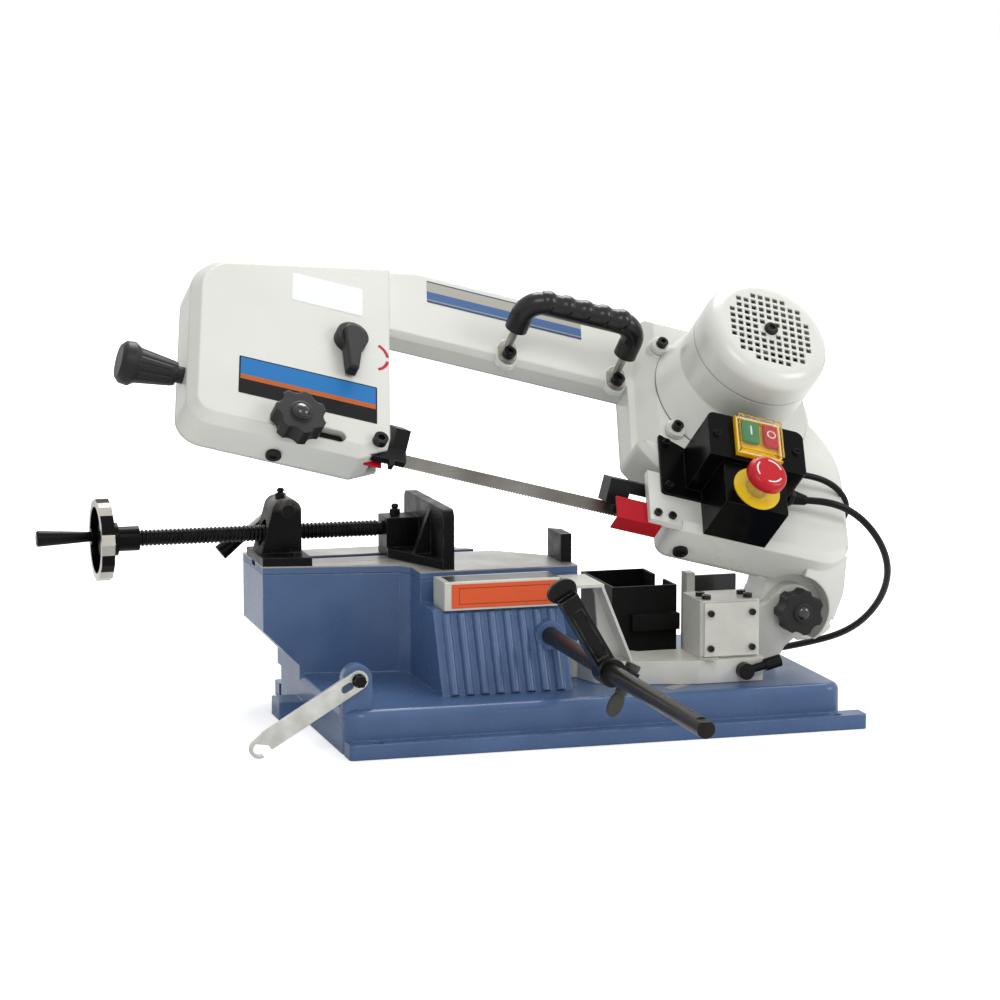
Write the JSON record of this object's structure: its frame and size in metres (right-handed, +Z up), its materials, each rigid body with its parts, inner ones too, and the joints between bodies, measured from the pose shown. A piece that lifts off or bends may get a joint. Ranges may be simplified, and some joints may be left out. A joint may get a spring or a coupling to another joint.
{
  "type": "metal cutting band saw",
  "caption": "Bench band saw for metal: blue cast base with screw vise, white bow leaning back at 45 degrees with motor, guides and switch box, length stop and chip bin.",
  "frame": {"origin": "centre of the four bench bolt holes, on the bench", "axes": "+X along the vise screw towards the jaws and the bow's hinge, +Y to the back, +Z up"},
  "size_m": [0.8426, 0.8275, 0.4408],
  "materials": {
    "blue_paint": "gloss paint on cast aluminium",
    "steel": "ground",
    "white_paint": "gloss paint on cast aluminium",
    "bar_steel": "ground, orange panel in front",
    "grey_paint": "satin paint on sheet",
    "dark_cast": "black paint on a rough casting",
    "black_steel": "blackened",
    "wheel_rim": "chrome facets, black web",
    "blade_steel": "rolled",
    "black_plastic": "fine grain",
    "bin_black": "matte",
    "box_black": "satin",
    "handle_black": "soft gloss",
    "zinc": "zinc plated",
    "screw_black": "blackened",
    "guide_black": "satin",
    "red_paint": "gloss paint",
    "yellow": "gloss",
    "green": "gloss",
    "red_plastic": "gloss",
    "clear": "clear",
    "cord_black": "sheath",
    "wheel_cast": "turned rim",
    "rotor_steel": "turned",
    "scale_plate": "anodised with plain marks"
  },
  "bodies": {
    "base": {"base_casting": "blue_paint", "vise_bed": "steel", "support_bar": "bar_steel", "nut_bracket": "dark_cast", "feed_nut": "steel", "fixed_jaw": "dark_cast", "stop_rod": "black_steel", "mitre_scale": "scale_plate", "turntable_pivot": "steel", "hook_bolt": "black_steel", "mains_lead_lower": "cord_black", "mains_coil": "cord_black", "mains_plug": "black_plastic"},
    "turntable": {"turntable": "white_paint", "swivel_block": "white_paint", "swivel_cover": "white_paint", "swivel_screws": "screw_black", "pivot_bracket": "white_paint", "hinge_pin": "steel", "mitre_pointer": "zinc"},
    "mitre_lock": {"mitre_lock_lever": "black_steel"},
    "hinge_knob": {"pivot_knob": "black_plastic"},
    "bin": {"chip_bin": "bin_black"},
    "bow": {"bow_casting": "white_paint", "rear_cover": "grey_paint", "blade": "blade_steel", "grip_handle": "black_plastic", "carry_handle": "handle_black", "handle_lugs": "zinc", "bow_screws": "screw_black", "motor_housing": "white_paint", "fan_cover": "white_paint", "right_guide": "guide_black", "blade_guard": "red_paint", "control_box": "box_black", "switch_bezel": "yellow", "estop_base": "yellow", "cable_gland": "black_plastic", "motor_cable": "cord_black", "mains_lead_upper": "cord_black"},
    "tensioner": {"tension_lever": "black_plastic"},
    "carriage": {"idler_carriage": "steel"},
    "idler": {"idler_wheel": "wheel_cast"},
    "drive": {"drive_wheel": "wheel_cast", "drive_gear": "steel"},
    "rotor": {"motor_rotor": "rotor_steel"},
    "left_guide": {"guide_arm": "guide_black"},
    "guide_clamp": {"guide_knob": "black_plastic"},
    "mushroom": {"estop_button": "red_plastic"},
    "start": {"start_button": "green"},
    "stop": {"stop_button": "red_plastic"},
    "flap": {"switch_flap": "clear"},
    "jaw": {"moving_jaw": "dark_cast"},
    "screw": {"vise_screw": "black_steel", "handwheel": "wheel_rim"},
    "crank": {"crank_handle": "black_plastic"},
    "release": {"quick_release_lever": "black_steel"},
    "length_stop": {"stop_arm": "black_steel"},
    "stop_clamp": {"stop_wing_screw": "black_steel"},
    "hook": {"transport_hook": "zinc"}
  },
  "joints": [
    {"name": "mitre", "type": "hinge", "parent": "base", "child": "turntable", "pos_m": [0.004, -0.026, 0.042], "axis": [0, 0, 1], "range_deg": [0, 45], "deforming": ["mains_lead_upper"]},
    {"name": "bow_hinge", "type": "hinge", "parent": "turntable", "child": "bow", "pos_m": [0.22, 0, 0.099], "axis": [0, 1, 0], "range_deg": [-14.65, 30], "deforming": ["mains_lead_upper"]},
    {"name": "mitre_lock_turn", "type": "hinge", "parent": "turntable", "child": "mitre_lock", "pos_m": [0.146, -0.112, 0.05365], "axis": [0, -1, 0], "range_deg": [0, 60]},
    {"name": "hinge_knob_turn", "type": "hinge", "parent": "turntable", "child": "hinge_knob", "pos_m": [0.22, -0.06, 0.099], "axis": [0, -1, 0], "range_deg": [0, 180]},
    {"name": "bin_lift", "type": "slide", "parent": "turntable", "child": "bin", "axis": [0, 0, 1], "range_m": [0, 0.025]},
    {"name": "carriage_slide", "type": "slide", "parent": "bow", "child": "carriage", "axis": [0.9675, 0, -0.2529], "range_m": [0, 0.003]},
    {"name": "tension_turn", "type": "hinge", "parent": "bow", "child": "tensioner", "pos_m": [-0.20631, 0.02845, 0.36608], "axis": [0.1788, -0.7071, 0.6841], "range_deg": [0, 90]},
    {"name": "drive_spin", "type": "hinge", "parent": "bow", "child": "drive", "pos_m": [0.20056, 0.02703, 0.2144], "axis": [0.1788, -0.7071, 0.6841], "continuous": true},
    {"name": "idler_spin", "type": "hinge", "parent": "carriage", "child": "idler", "pos_m": [-0.28259, 0.02703, 0.3407], "axis": [0.1788, -0.7071, 0.6841], "continuous": true},
    {"name": "rotor_spin", "type": "hinge", "parent": "bow", "child": "rotor", "pos_m": [0.19754, 0.04463, 0.32109], "axis": [0.1788, -0.7071, 0.6841], "continuous": true},
    {"name": "guide_slide", "type": "slide", "parent": "bow", "child": "left_guide", "axis": [0.9675, 0, -0.2529], "range_m": [0, 0.045]},
    {"name": "guide_knob_turn", "type": "hinge", "parent": "left_guide", "child": "guide_clamp", "pos_m": [-0.27823, -0.06348, 0.30448], "axis": [0.1788, -0.7071, 0.6841], "range_deg": [0, 180]},
    {"name": "mushroom_press", "type": "slide", "parent": "bow", "child": "mushroom", "axis": [-0.1788, 0.7071, -0.6841], "range_m": [0, 0.005], "stiffness_N_per_m": 800},
    {"name": "start_press", "type": "slide", "parent": "bow", "child": "start", "axis": [-0.1788, 0.7071, -0.6841], "range_m": [0, 0.003], "stiffness_N_per_m": 500},
    {"name": "stop_press", "type": "slide", "parent": "bow", "child": "stop", "axis": [-0.1788, 0.7071, -0.6841], "range_m": [0, 0.003], "stiffness_N_per_m": 500},
    {"name": "flap_lift", "type": "hinge", "parent": "bow", "child": "flap", "pos_m": [0.18051, -0.05322, 0.28798], "axis": [-0.9675, 0, 0.2529], "range_deg": [0, 100]},
    {"name": "jaw_slide", "type": "slide", "parent": "base", "child": "jaw", "axis": [1, 0, 0], "range_m": [-0.06, 0.066]},
    {"name": "screw_turn", "type": "hinge", "parent": "jaw", "child": "screw", "pos_m": [-0.3, 0.096, 0.174], "axis": [1, 0, 0], "continuous": true},
    {"name": "crank_spin", "type": "hinge", "parent": "screw", "child": "crank", "pos_m": [-0.443, 0.12498, 0.173], "axis": [1, 0, 0], "continuous": true},
    {"name": "release_turn", "type": "hinge", "parent": "base", "child": "release", "pos_m": [-0.257, 0.1, 0.197], "axis": [0, 1, 0], "range_deg": [0, 50]},
    {"name": "stop_slide", "type": "slide", "parent": "base", "child": "length_stop", "axis": [0, 1, 0], "range_m": [-0.23, 0.03]},
    {"name": "wing_turn", "type": "hinge", "parent": "length_stop", "child": "stop_clamp", "pos_m": [-0.02289, -0.266, 0.08373], "axis": [0.4352, 0, 0.9003], "range_deg": [0, 180]},
    {"name": "hook_swing", "type": "hinge", "parent": "base", "child": "hook", "pos_m": [-0.24, -0.134, 0.07], "axis": [0, 1, 0], "range_deg": [0, 110]}
  ],
  "couplings": [
    {"joint": "tension_turn", "follows": "carriage_slide", "rad_per_m": 523.6},
    {"joint": "idler_spin", "follows": "drive_spin", "ratio": 1},
    {"joint": "rotor_spin", "follows": "drive_spin", "ratio": -7.5714},
    {"joint": "screw_turn", "follows": "jaw_slide", "rad_per_m": 1570.8}
  ]
}
